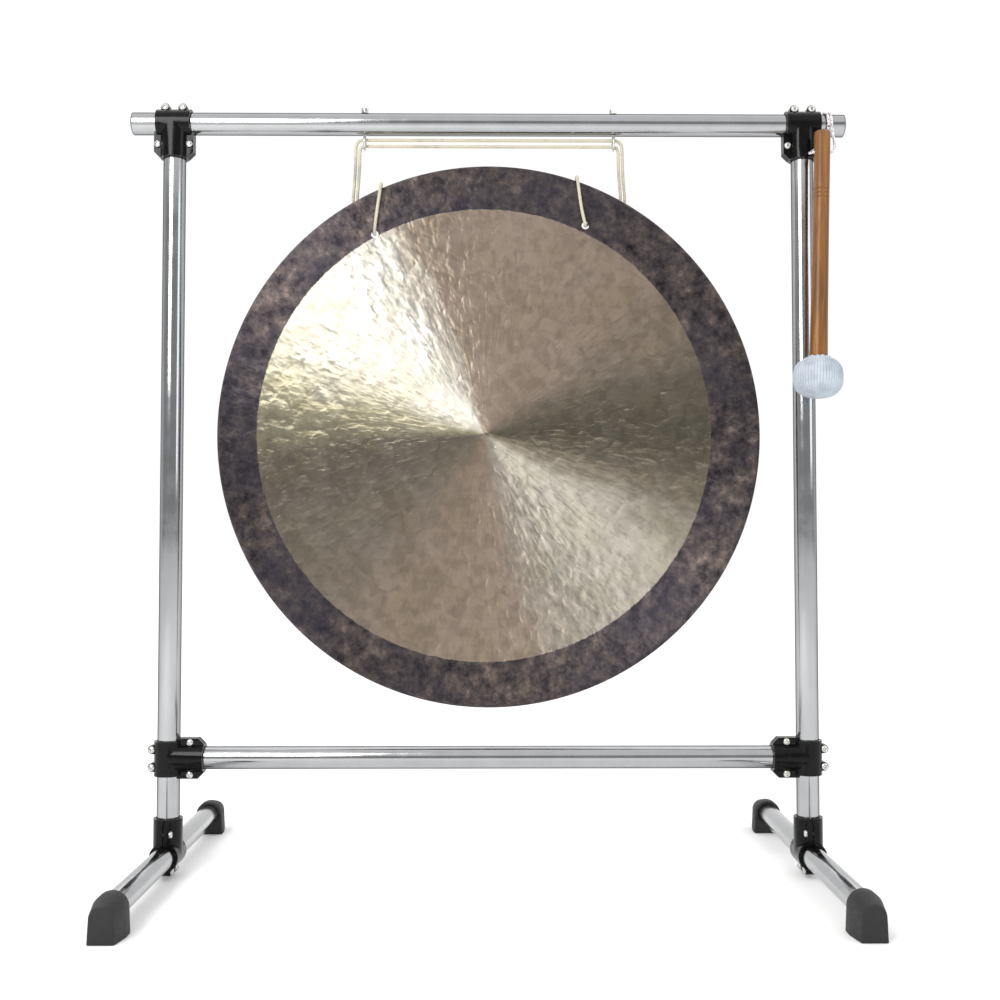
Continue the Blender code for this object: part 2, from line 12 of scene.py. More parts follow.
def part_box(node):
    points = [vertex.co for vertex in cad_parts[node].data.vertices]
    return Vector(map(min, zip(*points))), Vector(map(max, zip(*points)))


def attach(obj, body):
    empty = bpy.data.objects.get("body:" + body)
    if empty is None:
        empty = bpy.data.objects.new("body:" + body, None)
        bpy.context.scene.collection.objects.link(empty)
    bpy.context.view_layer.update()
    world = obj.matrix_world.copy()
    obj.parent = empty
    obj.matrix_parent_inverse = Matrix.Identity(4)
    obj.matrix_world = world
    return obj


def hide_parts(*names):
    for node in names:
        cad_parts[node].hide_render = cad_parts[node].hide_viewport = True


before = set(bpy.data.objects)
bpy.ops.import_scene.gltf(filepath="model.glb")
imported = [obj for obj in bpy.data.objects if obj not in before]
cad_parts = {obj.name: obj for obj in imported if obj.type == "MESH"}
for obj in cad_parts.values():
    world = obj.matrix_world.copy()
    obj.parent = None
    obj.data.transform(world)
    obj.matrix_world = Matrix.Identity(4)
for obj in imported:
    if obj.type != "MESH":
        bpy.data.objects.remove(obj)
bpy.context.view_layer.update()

# Camera
CAMERA_SPOT = (0.0, -1.75, 0.470)
CAMERA_PITCH = math.radians(92.17)
CAMERA_YAW = math.radians(-0.52)
LENS = 43.7
SENSOR = 36.0

# Light: each area light's name, place, size, power and colour, all aimed at the gong's middle
LIGHTS = (("key", (-1.15, -1.90, 1.78), (1.0, 1.3), 40, (1.0, 0.99, 0.97)),
          ("fill", (2.3, -1.2, 1.5), (1.0, 1.6), 10, (0.94, 0.97, 1.0)))
LIGHT_AIM = Vector((0, 0, 0.63))
SKY_POWER = 1.7
SKY_SPREAD = math.radians(130)
WORLD_FRONT = 0.42          # how bright the world is in front of the object, and behind it
WORLD_BACK = 1.02
WORLD_TURN = (-0.35, 0.45)  # where it changes, as the Y of a direction
FLOOR_HALF = 14.0

# Resolution
TUBE_SIDES = 64
BOLT_SIDES = 32
GONG_SIDES = 480
GONG_ROWS = 119             # rings of points on the front, from the middle to the rim's bend
CORD_SIDES = 18
GAP = 0.0003                # left between neighbouring pieces
SHARP = 32.0                # edges sharper than this many degrees stay sharp, or are bevelled
END_ROUND = 0.0004          # rounding of a tube's or a shank's cut end

# T clamp in its own frame: the through tube lies along X, the butting tube comes from -Z
TUBE_WALL = 0.0015
BARREL_RADIUS = 0.0205
BARREL_HALF = 0.0245
STEM_END = 0.0515
FLANGE_HALF = 0.0285
FLANGE_SHOULDER = 0.013
FLANGE_CHAMFER = 0.0085
PLATE_HALF = 0.008
SPLIT_HALF = 0.0007
LUG = (0.0125, 0.0217)
LUG_RADIUS = 0.0063
STEM_BOLT = (0.0225, -0.032)
BOLT_HOLE = 0.0032
BOLT_RADIUS = 0.0028
BOLT_HEAD_RADIUS = 0.0052
BOLT_HEAD_HEIGHT = 0.0044
BOLT_REACH = 0.0155
BOLT_RIM = 0.0012           # straight part of a bolt's head, under its dome
SOCKET_RADIUS = 0.0022
SOCKET_DEPTH = 0.0024
CLAMP_EDGE = 0.0006

# Plugs in the top bar's ends
CAP_DOME = 0.0031
CAP_PLUG = 0.012

# Rubber feet
FOOT_LENGTH = 0.048
FOOT_POCKET = 0.030
FOOT_REAR = (0.0205, 0.0525)
FOOT_TOE = (0.0150, 0.0455)
FOOT_FLARE = 0.0014

# Gong
GONG_WALL = 0.0022
GONG_CROWN = 0.0105         # how far the middle stands forward of the hanging plane
GONG_SHOULDER = 0.0060      # the same at the start of the rim's bend
GONG_LIP = 0.0125
RIM_BEND = 0.011
RIM_DRAFT = 0.002           # how far the turned-back rim draws in
LIP_ROUND = 0.0009
GONG_EDGE = (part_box("gong")[1].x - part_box("gong")[0].x) / 2
GONG_CORNER = GONG_EDGE - RIM_BEND      # where the rim starts to bend back
GONG_FALL = (GONG_CROWN - GONG_SHOULDER) / GONG_CORNER ** 2     # the face's fall per metre squared
GONG_ROLL = math.radians(2.5)
HOLE_SPREAD = math.radians(27.2)
HOLE_CIRCLE = 0.334
HOLE_RADIUS = 0.0055
POLISH_RADIUS = 0.3265
POLISH_SHIFT = 0.0072       # the turned face sits this far to the left of the disc's middle
DENTS = (0.00030, 0.016)    # depth and size of the hammer marks
WAVES = (0.00035, 0.055)    # the same for the sheet's slow unevenness
SCALE = (0.00012, 0.006)    # and for the scaled rim

# Eye bolts
EYE_RING = 0.0096
EYE_WIRE = 0.0018
EYE_SHANK = 0.003
NUT_DOME = 0.38             # the domed share of a nut's height

# Mallet
MALLET_TOP = Vector((0.4775, -0.0365, 1.063))
MALLET_HEART = Vector((0.4630, -0.0545, 0.707))
HANDLE_TOP_RADIUS = 0.0113
HANDLE_LOW_RADIUS = 0.0132
HANDLE_BITE = 0.016
STRING_HOLE_DROP = 0.030
STRING_HOLE_RADIUS = 0.0032
HEAD_RADIUS = 0.0352
HEAD_HALF_HEIGHT = 0.0292
HEAD_SQUARENESS = 0.78
HEAD_RIBS = 52
HEAD_GATHERS = 13
HEAD_ROWS = 64
RIB_DEPTH = 0.00009
GATHER_REACH = 0.024        # how far from the mouth the gathers fade out
GATHER_DEPTH = 0.0010
GATHER_LIFT = 0.0008
GROOVES = (0.086, 0.092, 0.098)     # how far the handle's grooves are below its top
GROOVE_DEPTH = 0.0008
GROOVE_HALF = 0.0011

# Cords
CORD_RADIUS = 0.0024
CORD_PITCH = 0.016          # length in which a strand of the sling goes once round
CORD_STEP = 0.0013          # distance between the rings of its mesh
STRING_RADIUS = 0.0021
STRING_PITCH = 0.0062
STRING_STEP = 0.0007

# The sling, one closed loop: each side leaves the top run, goes down behind the rim, and is
# threaded through its hole and over the rim before it comes back up beside itself.
SLING_LEFT = [
    (-0.110, 0.0000, 1.0518), (-0.170, 0.0000, 1.0518), (-0.1815, 0.0000, 1.0516),
    (-0.1863, 0.0003, 1.0494), (-0.1882, 0.0012, 1.0440), (-0.1890, 0.0045, 1.0250),
    (-0.1912, 0.0110, 1.0000), (-0.1930, 0.0158, 0.9830), (-0.1922, 0.0164, 0.9720),
    (-0.1880, 0.0125, 0.9610), (-0.1780, 0.0065, 0.9420), (-0.1680, 0.0030, 0.9260),
    (-0.1656, -0.0040, 0.9215), (-0.1653, -0.0105, 0.9230), (-0.1648, -0.0114, 0.9320),
    (-0.1625, -0.0102, 0.9520), (-0.1592, -0.0098, 0.9760), (-0.1575, -0.0092, 0.9880),
    (-0.1572, -0.0050, 0.9950), (-0.1574, 0.0030, 0.9978), (-0.1580, 0.0110, 0.9970),
    (-0.1600, 0.0165, 0.9890), (-0.1650, 0.0180, 0.9790), (-0.1750, 0.0195, 0.9690),
    (-0.1880, 0.0205, 0.9620), (-0.1975, 0.0198, 0.9680), (-0.1995, 0.0175, 0.9800),
    (-0.1972, 0.0118, 1.0000), (-0.1950, 0.0048, 1.0250), (-0.1942, 0.0012, 1.0440),
    (-0.1930, 0.0003, 1.0540), (-0.1880, 0.0000, 1.0598), (-0.1815, 0.0000, 1.0609),
    (-0.170, 0.0000, 1.0609), (-0.110, 0.0000, 1.0609),
]
SLING_RIGHT = [
    (0.110, 0.0000, 1.0609), (0.170, 0.0000, 1.0609), (0.1815, 0.0000, 1.0609),
    (0.1880, 0.0000, 1.0598), (0.1930, 0.0003, 1.0540), (0.1942, 0.0012, 1.0440),
    (0.1950, 0.0048, 1.0250), (0.1972, 0.0118, 1.0000), (0.1995, 0.0175, 0.9800),
    (0.1960, 0.0200, 0.9660), (0.1830, 0.0210, 0.9620), (0.1650, 0.0205, 0.9700),
    (0.1450, 0.0195, 0.9830), (0.1340, 0.0180, 0.9920), (0.1295, 0.0160, 1.0010),
    (0.1282, 0.0110, 1.0073), (0.1278, 0.0030, 1.0085), (0.1280, -0.0050, 1.0060),
    (0.1286, -0.0092, 0.9990), (0.1302, -0.0098, 0.9860), (0.1335, -0.0100, 0.9620),
    (0.1370, -0.0113, 0.9440), (0.1392, -0.0105, 0.9360), (0.1395, -0.0040, 0.9345),
    (0.1415, 0.0030, 0.9370), (0.1520, 0.0065, 0.9430), (0.1740, 0.0120, 0.9560),
    (0.1890, 0.0158, 0.9680), (0.1930, 0.0160, 0.9810), (0.1912, 0.0110, 1.0000),
    (0.1890, 0.0045, 1.0250), (0.1882, 0.0012, 1.0440), (0.1863, 0.0003, 1.0494),
    (0.1815, 0.0000, 1.0516), (0.170, 0.0000, 1.0518), (0.110, 0.0000, 1.0518),
]

# The string: through the handle, up the front of the bar, twice round it, and back behind the handle
STRING_START = [
    (0.4650, -0.0380, 1.0330), (0.4720, -0.0380, 1.0330), (0.4850, -0.0380, 1.0325),
    (0.4925, -0.0382, 1.0350), (0.4950, -0.0350, 1.0450), (0.4960, -0.0275, 1.0580),
    (0.4962, -0.0213, 1.0700),
]
STRING_END = [
    (0.4882, -0.0070, 1.0625), (0.4865, -0.0150, 1.0560), (0.4790, -0.0205, 1.0480),
    (0.4680, -0.0225, 1.0400), (0.4612, -0.0285, 1.0345), (0.4606, -0.0350, 1.0332),
]
STRING_X = (0.4962, 0.4882)
STRING_SWEEP = (math.radians(200), math.radians(-630))
STRING_POINTS = 26


# ---- Meshes ----

def lofted(rings, closed=False):
    """A bmesh through closed rings of points; a ring of one point is a pole."""
    bm = bmesh.new()
    made = [[bm.verts.new(point) for point in ring] for ring in rings]
    following = made[1:] + (made[:1] if closed else [])
    for ring, after in zip(made, following):
        count = max(len(ring), len(after))
        for i in range(count):
            k = (i + 1) % count
            if len(ring) == 1:
                bm.faces.new((ring[0], after[k], after[i]))
            elif len(after) == 1:
                bm.faces.new((ring[i], ring[k], after[0]))
            else:
                bm.faces.new((ring[i], ring[k], after[k], after[i]))
    return bm


def circle(radius, height, sides):
    """A ring of points about Z, or one point on it."""
    if radius < 1e-6:
        return [(0, 0, height)]
    turns = [2 * math.pi * i / sides for i in range(sides)]
    return [(radius * math.cos(t), radius * math.sin(t), height) for t in turns]


def turned(profile, sides, closed=False):
    """A bmesh of (radius, height) points turned about Z."""
    return lofted([circle(radius, height, sides) for radius, height in profile], closed)


def mesh_from(bm, name, sharp=SHARP):
    """A smooth-shaded mesh with the content of a bmesh; edges sharper than sharp degrees stay sharp."""
    bmesh.ops.recalc_face_normals(bm, faces=bm.faces[:])
    mesh = bpy.data.meshes.new(name)
    bm.to_mesh(mesh)
    bm.free()
    mesh.shade_smooth()
    mesh.set_sharp_from_angle(angle=math.radians(sharp))
    return mesh


def rounded(points, radius, steps=4, closed=False):
    """The outline's points with each corner turned into a small curve."""
    spots = [Vector(point) for point in points]
    made = []
    for i, corner in enumerate(spots):
        if not closed and i in (0, len(spots) - 1):
            made.append(corner)
            continue
        before = spots[i - 1] - corner
        after = spots[(i + 1) % len(spots)] - corner
        reach = min(radius, before.length * 0.45, after.length * 0.45)
        start = corner + before.normalized() * reach
        end = corner + after.normalized() * reach
        for k in range(steps + 1):
            t = k / steps
            made.append((1 - t) ** 2 * start + 2 * t * (1 - t) * corner + t ** 2 * end)
    return made


def arc(center, radius, first, last, count):
    """Points (x, z) on an arc, from first to last in degrees."""
    turns = [math.radians(first + (last - first) * i / (count - 1)) for i in range(count)]
    return [(center[0] + radius * math.cos(t), center[1] + radius * math.sin(t)) for t in turns]


def along(start, end):
    """The matrix that takes a shape centred on Z to the middle of the line from start to end."""
    line = Vector(end) - Vector(start)
    middle = (Vector(start) + Vector(end)) / 2
    return Matrix.Translation(middle) @ line.to_track_quat("Z", "Y").to_matrix().to_4x4()


def rod(radius, start, end, sides=TUBE_SIDES):
    """The mesh of a plain round rod, for a cutter or a shape to be joined."""
    bm = bmesh.new()
    length = (Vector(end) - Vector(start)).length
    bmesh.ops.create_cone(bm, cap_ends=True, segments=sides, radius1=radius, radius2=radius,
                          depth=length, matrix=along(start, end))
    return mesh_from(bm, "rod")


def slab(outline, half):
    """The mesh of a flat outline in the XZ plane, half thick on each side of it."""
    bm = bmesh.new()
    face = bm.faces.new([bm.verts.new((x, -half, z)) for x, z in outline])
    swept = bmesh.ops.extrude_face_region(bm, geom=[face])["geom"]
    moved = [item for item in swept if isinstance(item, bmesh.types.BMVert)]
    bmesh.ops.translate(bm, verts=moved, vec=(0, 2 * half, 0))
    return mesh_from(bm, "slab")


def box(low, high):
    """The mesh of a box between two corners."""
    bm = bmesh.new()
    size = Vector(high) - Vector(low)
    middle = (Vector(high) + Vector(low)) / 2
    bmesh.ops.create_cube(bm, size=1.0, matrix=Matrix.Translation(middle) @ Matrix.Diagonal((*size, 1)))
    return mesh_from(bm, "box")


def carved(mesh, steps, edge=0.0, edge_steps=2):
    """The mesh after a list of Booleans (operation, other mesh), its edges bevelled by edge."""
    shape = bpy.data.objects.new("carved", mesh)
    others = []
    bpy.context.scene.collection.objects.link(shape)
    for operation, other in steps:
        tool = bpy.data.objects.new("tool", other)
        bpy.context.scene.collection.objects.link(tool)
        others.append(tool)
        modifier = shape.modifiers.new("step", "BOOLEAN")
        modifier.operation = operation
        modifier.solver = "EXACT"
        modifier.object = tool
    if edge:
        bevel = shape.modifiers.new("edge", "BEVEL")
        bevel.width = edge
        bevel.segments = edge_steps
        bevel.limit_method = "ANGLE"
        bevel.angle_limit = math.radians(SHARP)
    bpy.context.view_layer.update()
    evaluated = shape.evaluated_get(bpy.context.evaluated_depsgraph_get())
    result = bpy.data.meshes.new_from_object(evaluated)
    for old in [shape] + others:
        bpy.data.objects.remove(old, do_unlink=True)
    result.shade_smooth()
    result.set_sharp_from_angle(angle=math.radians(SHARP))
    return result


def smooth_route(points, steps, closed):
    """Points on a smooth curve through the route's own points."""
    count = len(points)
    spots = [Vector(point) for point in points]
    made = []
    for i in range(count if closed else count - 1):
        picked = [i - 1, i, i + 1, i + 2]
        picked = [k % count if closed else max(0, min(count - 1, k)) for k in picked]
        before, start, end, after = (spots[k] for k in picked)
        for k in range(steps):
            t = k / steps
            made.append(0.5 * (2 * start + (end - before) * t
                               + (2 * before - 5 * start + 4 * end - after) * t ** 2
                               + (3 * start - before - 3 * end + after) * t ** 3))
    return made


def evenly(points, step):
    """The closed route's points, spaced evenly by about step."""
    loop = points + points[:1]
    lengths = [0.0]
    for start, end in zip(loop, loop[1:]):
        lengths.append(lengths[-1] + (end - start).length)
    count = round(lengths[-1] / step)
    made = []
    k = 0
    for i in range(count):
        goal = lengths[-1] * i / count
        while lengths[k + 1] < goal:
            k += 1
        share = (goal - lengths[k]) / (lengths[k + 1] - lengths[k])
        made.append(loop[k].lerp(loop[k + 1], share))
    return made


def laid(points, radius, relief, step):
    """A closed cord along points. relief(angle, distance) scales its radius.

    Each point keeps (cos angle, sin angle, distance) in the attribute "lay", for the material.
    """
    spots = evenly(points, step)
    count = len(spots)
    ahead = [(spots[(i + 1) % count] - spots[i - 1]).normalized() for i in range(count)]
    across = ahead[0].orthogonal().normalized()
    frames = []
    for direction in ahead:
        across = (across - direction * across.dot(direction)).normalized()
        frames.append((across, direction.cross(across)))
    first, last = frames[0], frames[-1]
    drift = math.atan2(last[0].dot(first[1]), last[0].dot(first[0]))
    rings, lay = [], []
    for i, (spot, (side, up)) in enumerate(zip(spots, frames)):
        ring = []
        for k in range(CORD_SIDES):
            angle = 2 * math.pi * k / CORD_SIDES
            turn = angle - drift * i / count
            reach = radius * relief(angle, i * step)
            ring.append(spot + (side * math.cos(turn) + up * math.sin(turn)) * reach)
            lay.append((math.cos(angle), math.sin(angle), i * step))
        rings.append(ring)
    mesh = mesh_from(lofted(rings, closed=True), "cord", 80)
    kept = mesh.attributes.new("lay", "FLOAT_VECTOR", "POINT")
    for item, value in zip(kept.data, lay):
        item.vector = value
    return mesh


# ---- Materials ----

class Graph:
    """A material's nodes, with short calls that add and link them."""

    def __init__(self, name):
        self.material = bpy.data.materials.new(name)
        self.material.use_nodes = True
        self.tree = self.material.node_tree
        self.shader = self.tree.nodes["Principled BSDF"]

    def feed(self, socket, value):
        """Links or sets one input."""
        if isinstance(value, bpy.types.NodeSocket):
            self.tree.links.new(value, socket)
        else:
            socket.default_value = value

    def node(self, kind, inputs, **settings):
        """Adds a node with its settings and inputs."""
        made = self.tree.nodes.new("ShaderNode" + kind)
        for key, value in settings.items():
            setattr(made, key, value)
        for key, value in inputs.items():
            self.feed(made.inputs[key], value)
        return made

    def finish(self, **inputs):
        """Sets the shader's inputs, named with _ for a space, and returns the material."""
        for key, value in inputs.items():
            if isinstance(value, tuple) and len(value) == 3:
                value = (*value, 1.0)
            self.feed(self.shader.inputs[key.replace("_", " ")], value)
        return self.material

    def place(self, scale=(1, 1, 1)):
        """The piece's own coordinates in metres, scaled."""
        spot = self.node("TexCoord", {}).outputs["Object"]
        return self.node("Mapping", {"Vector": spot, "Scale": scale}).outputs["Vector"]

    def cloud(self, vector, scale, detail=3.0, rough=0.55, distortion=0.0):
        """Noise from 0 to 1."""
        inputs = {"Vector": vector, "Scale": scale, "Detail": detail, "Roughness": rough,
                  "Distortion": distortion}
        return self.node("TexNoise", inputs).outputs["Fac"]

    def sum(self, operation, a, b=0.0, c=0.0):
        """A Math node's result."""
        made = self.node("Math", {}, operation=operation)
        for socket, value in zip(made.inputs, (a, b, c)):
            self.feed(socket, value)
        return made.outputs[0]

    def span(self, value, low, high, new_low=0.0, new_high=1.0):
        """value from low..high, smoothly to new_low..new_high."""
        inputs = {"Value": value, "From Min": low, "From Max": high, "To Min": new_low, "To Max": new_high}
        return self.node("MapRange", inputs, interpolation_type="SMOOTHSTEP").outputs["Result"]

    def ramp(self, value, stops):
        """A colour ramp through (place, color) stops."""
        made = self.node("ValToRGB", {"Fac": value})
        items = made.color_ramp.elements
        while len(items) < len(stops):
            items.new(0.5)
        for item, (spot, color) in zip(items, stops):
            item.position = spot
            item.color = (*color, 1.0)
        return made.outputs["Color"]

    def mix(self, share, a, b, blend="MIX"):
        """Two colours mixed by share."""
        made = self.node("Mix", {}, data_type="RGBA", blend_type=blend)
        colors = [(*c, 1.0) if isinstance(c, tuple) else c for c in (a, b)]
        for name, value in zip(("Factor", "A", "B"), (share, *colors)):
            socket = [s for s in made.inputs if s.name == name and s.type in ("RGBA", "VALUE")]
            self.feed(socket[0] if name == "Factor" else socket[-1], value)
        return [s for s in made.outputs if s.type == "RGBA"][0]

    def bump(self, height, distance, strength=1.0, normal=None):
        """A bump of that height in metres."""
        inputs = {"Height": height, "Distance": distance, "Strength": strength}
        if normal:
            inputs["Normal"] = normal
        return self.node("Bump", inputs).outputs["Normal"]


def chrome(name="chrome", edge=0.12):
    """Polished chrome with faint wiping marks; edge is how light its reflections are at the edges."""
    g = Graph(name)
    haze = g.cloud(g.place(), 35.0, 4.0)
    fine = g.cloud(g.place(), 900.0, 2.0)
    color = g.mix(haze, (0.36, 0.365, 0.37), (0.46, 0.465, 0.475))
    return g.finish(Base_Color=color, Metallic=1.0, Roughness=g.span(haze, 0.3, 0.75, 0.10, 0.19),
                    Specular_Tint=(edge, edge, edge), Normal=g.bump(fine, 0.00002, 0.5))


def steel():
    """Zinc-plated steel for bolts and nuts, with fine turning marks."""
    g = Graph("steel_bolt")
    spots = g.cloud(g.place(), 700.0, 4.0)
    color = g.mix(spots, (0.42, 0.41, 0.39), (0.78, 0.77, 0.75))
    return g.finish(Base_Color=color, Metallic=1.0, Roughness=g.span(spots, 0.3, 0.7, 0.18, 0.34),
                    Normal=g.bump(spots, 0.00004, 0.6))


def clamp_black():
    """Glossy black enamel over cast metal, with slight orange peel and dust."""
    g = Graph("clamp_black")
    peel = g.cloud(g.place(), 420.0, 2.0)
    dust = g.cloud(g.place(), 120.0, 6.0, 0.7)
    color = g.mix(g.span(dust, 0.50, 0.85), (0.0035, 0.0035, 0.0038), (0.012, 0.012, 0.0115))
    return g.finish(Base_Color=color, Roughness=g.span(dust, 0.35, 0.75, 0.13, 0.24),
                    Specular_IOR_Level=0.16, Normal=g.bump(peel, 0.00006, 0.5))


def rubber():
    """Matt dark rubber with a fine moulded grain and scuffs."""
    g = Graph("foot_rubber")
    grain = g.cloud(g.place(), 1500.0, 3.0)
    scuff = g.cloud(g.place((1, 1, 2.5)), 90.0, 6.0, 0.7)
    color = g.mix(g.span(scuff, 0.5, 0.8), (0.013, 0.013, 0.0135), (0.032, 0.0315, 0.031))
    return g.finish(Base_Color=color, Roughness=g.span(scuff, 0.3, 0.8, 0.62, 0.82),
                    Normal=g.bump(grain, 0.00012, 0.6))


def gong_bronze():
    """Bronze, turned bright inside a dark scaled rim, with hammer marks and turning lines; painted highlight
    and shade in sectors round the turned face, and painted light and shade that follows the hammer marks.
    """
    g = Graph("gong_bronze")
    spot = g.place()
    parts = g.node("SeparateXYZ", {"Vector": spot}).outputs
    across = g.sum("ADD", parts["X"], POLISH_SHIFT)
    radius = g.sum("SQRT", g.sum("MULTIPLY_ADD", across, across, g.sum("MULTIPLY", parts["Z"], parts["Z"])))
    angle = g.sum("ARCTAN2", parts["Z"], across)

    ragged = g.cloud(spot, 110.0, 6.0, 0.72)
    edge = g.sum("MULTIPLY_ADD", ragged, 0.0052, radius)
    rim = g.span(edge, POLISH_RADIUS + 0.0018, POLISH_RADIUS + 0.0036)
    turned_back = g.span(parts["Y"], -0.004, 0.001)
    rim = g.sum("MAXIMUM", rim, turned_back)

    # Painted highlight and shade in sectors of the turned face: the bright diagonal is a painted highlight
    # and the dark sectors beside it are painted shade, as long rays from the middle
    rays = g.node("CombineXYZ", {"X": g.sum("MULTIPLY", g.sum("COSINE", angle), 6.0),
                                 "Y": g.sum("MULTIPLY", g.sum("SINE", angle), 6.0),
                                 "Z": g.sum("MULTIPLY", radius, 9.0)}).outputs["Vector"]
    streak = g.cloud(rays, 1.0, 6.0, 0.6)
    wander = g.sum("MULTIPLY_ADD", streak, 0.09, -0.045)
    turn = g.sum("FRACT", g.sum("ADD", g.sum("DIVIDE", angle, 2 * math.pi), wander))
    painted_highlight_sectors = g.ramp(turn, [
        (0.00, (0.150, 0.134, 0.105)), (0.05, (0.195, 0.168, 0.132)), (0.11, (0.345, 0.275, 0.222)),
        (0.23, (0.375, 0.300, 0.245)), (0.29, (0.345, 0.278, 0.230)), (0.335, (0.56, 0.54, 0.50)),
        (0.43, (0.60, 0.57, 0.49)), (0.47, (0.50, 0.46, 0.33)), (0.53, (0.22, 0.190, 0.155)),
        (0.63, (0.23, 0.195, 0.160)), (0.68, (0.300, 0.240, 0.190)), (0.77, (0.335, 0.267, 0.215)),
        (0.83, (0.375, 0.345, 0.300)), (0.90, (0.38, 0.355, 0.310)), (0.95, (0.185, 0.160, 0.125)),
        (1.00, (0.150, 0.134, 0.105))])
    # The back has one even tone, without the painted highlight and shade: it is where Y is half a wall or
    # more behind the crowned face
    level = g.sum("ADD", parts["Y"], GONG_CROWN)
    plain = g.sum("MULTIPLY_ADD", parts["X"], parts["X"], g.sum("MULTIPLY", parts["Z"], parts["Z"]))
    behind = g.sum("MULTIPLY_ADD", plain, -GONG_FALL, level)
    painted_highlight_sectors = g.mix(g.span(behind, 0.0008, 0.0014), painted_highlight_sectors, (0.30, 0.245, 0.195))
    tarnish = g.cloud(spot, 14.0, 6.0, 0.6)
    olive = g.mix(g.span(tarnish, 0.35, 0.7), (1.0, 1.0, 1.0), (0.93, 0.92, 0.86))
    bright = g.mix(1.0, painted_highlight_sectors, olive, "MULTIPLY")
    fleck = g.cloud(rays, 7.0, 4.0, 0.6)
    dents = g.cloud(spot, 62.0, 1.5, 0.4, 0.6)
    bright = g.mix(g.span(fleck, 0.46, 0.70, 0.0, 0.30), bright, (0.17, 0.145, 0.120))
    # Painted light and shade of the hammer marks: the colour is made lighter and darker in step with the
    # dents' relief
    dent_painted_shade = g.mix(g.span(dents, 0.30, 0.68), (0.86, 0.85, 0.84), (1.07, 1.07, 1.06))
    bright = g.mix(1.0, bright, dent_painted_shade, "MULTIPLY")

    scale = g.cloud(spot, 52.0, 8.0, 0.72)
    cool = g.cloud(spot, 7.0, 3.0)
    dark = g.ramp(scale, [(0.34, (0.028, 0.024, 0.028)), (0.47, (0.088, 0.074, 0.078)),
                          (0.58, (0.155, 0.125, 0.116)), (0.70, (0.30, 0.235, 0.20))])
    dark = g.mix(g.span(cool, 0.40, 0.62, 0.0, 0.45), dark, (0.070, 0.066, 0.090))
    color = g.mix(rim, bright, dark)

    lines = g.node("TexNoise", {"W": g.sum("MULTIPLY", radius, 300.0), "Scale": 1.0, "Detail": 3.0},
                   noise_dimensions="1D").outputs["Fac"]
    flow = g.cloud(rays, 3.2, 2.0, 0.5)
    relief = g.sum("MULTIPLY_ADD", flow, g.span(radius, 0.03, 0.16, 0.15, 0.8), dents)
    normal = g.bump(relief, 0.0013, 1.0)
    normal = g.bump(lines, 0.00012, 1.0, normal)
    rough = g.cloud(spot, 190.0, 5.0, 0.6)
    normal = g.bump(g.sum("MULTIPLY", rough, rim), 0.0008, 0.5, normal)

    gloss = g.sum("MULTIPLY_ADD", rim, 0.14, g.span(tarnish, 0.3, 0.8, 0.40, 0.47))
    ring = g.node("Tangent", {}, direction_type="RADIAL", axis="Y").outputs["Tangent"]
    return g.finish(Base_Color=color, Metallic=1.0, Roughness=gloss, Anisotropic=0.93,
                    Anisotropic_Rotation=0.25, Tangent=ring, Normal=normal)


def sling_cord():
    """Cream cord with fibres that follow its strands, and grey handling marks."""
    g = Graph("sling_cord")
    lay = g.node("Attribute", {}, attribute_name="lay").outputs["Vector"]
    fibre = g.cloud(g.node("Mapping", {"Vector": lay, "Scale": (2.5, 2.5, 900)}).outputs["Vector"], 1.0, 4.0)
    soil = g.cloud(g.place(), 26.0, 5.0, 0.65)
    color = g.mix(g.span(soil, 0.42, 0.72), (0.52, 0.48, 0.36), (0.34, 0.32, 0.27))
    color = g.mix(g.span(fibre, 0.55, 0.8, 0.0, 0.5), color, (0.30, 0.29, 0.26))
    return g.finish(Base_Color=color, Roughness=0.58, Sheen_Weight=0.15,
                    Normal=g.bump(fibre, 0.00016, 0.7))


def braided_string():
    """White braided string flecked with purple."""
    g = Graph("braided_string")
    lay = g.node("Attribute", {}, attribute_name="lay").outputs["Vector"]
    vector = g.node("Mapping", {"Vector": lay, "Scale": (1.3, 1.3, 620)}).outputs["Vector"]
    cells = g.node("TexVoronoi", {"Vector": vector, "Scale": 1.2})
    pick = g.node("SeparateColor", {"Color": cells.outputs["Color"]}).outputs[0]
    fibre = g.cloud(vector, 5.0, 3.0)
    color = g.mix(g.span(fibre, 0.4, 0.75), (0.86, 0.84, 0.84), (0.62, 0.60, 0.62))
    color = g.mix(g.span(pick, 0.70, 0.74), color, (0.115, 0.050, 0.125))
    return g.finish(Base_Color=color, Roughness=0.8, Sheen_Weight=0.3,
                    Normal=g.bump(fibre, 0.00022, 0.8))


def mallet_wood():
    """Varnished light brown wood, its grain along the handle."""
    g = Graph("mallet_wood")
    grain = g.cloud(g.place((1, 1, 0.045)), 260.0, 6.0, 0.6, 0.5)
    bands = g.cloud(g.place((1, 1, 0.06)), 70.0, 3.0, 0.5, 1.2)
    pores = g.cloud(g.place((1, 1, 0.03)), 1400.0, 2.0)
    color = g.ramp(bands, [(0.30, (0.10, 0.040, 0.009)), (0.48, (0.180, 0.072, 0.016)),
                           (0.62, (0.250, 0.104, 0.025)), (0.75, (0.33, 0.148, 0.040))])
    color = g.mix(g.span(grain, 0.5, 0.72, 0.0, 0.6), color, (0.085, 0.030, 0.008))
    color = g.mix(g.span(pores, 0.62, 0.72, 0.0, 0.6), color, (0.070, 0.024, 0.008))
    relief = g.sum("MULTIPLY_ADD", grain, 0.6, pores)
    return g.finish(Base_Color=color, Roughness=g.span(grain, 0.3, 0.8, 0.30, 0.48),
                    Specular_IOR_Level=0.3, Coat_Weight=0.08, Coat_Roughness=0.2,
                    Normal=g.bump(relief, 0.00012, 0.5))


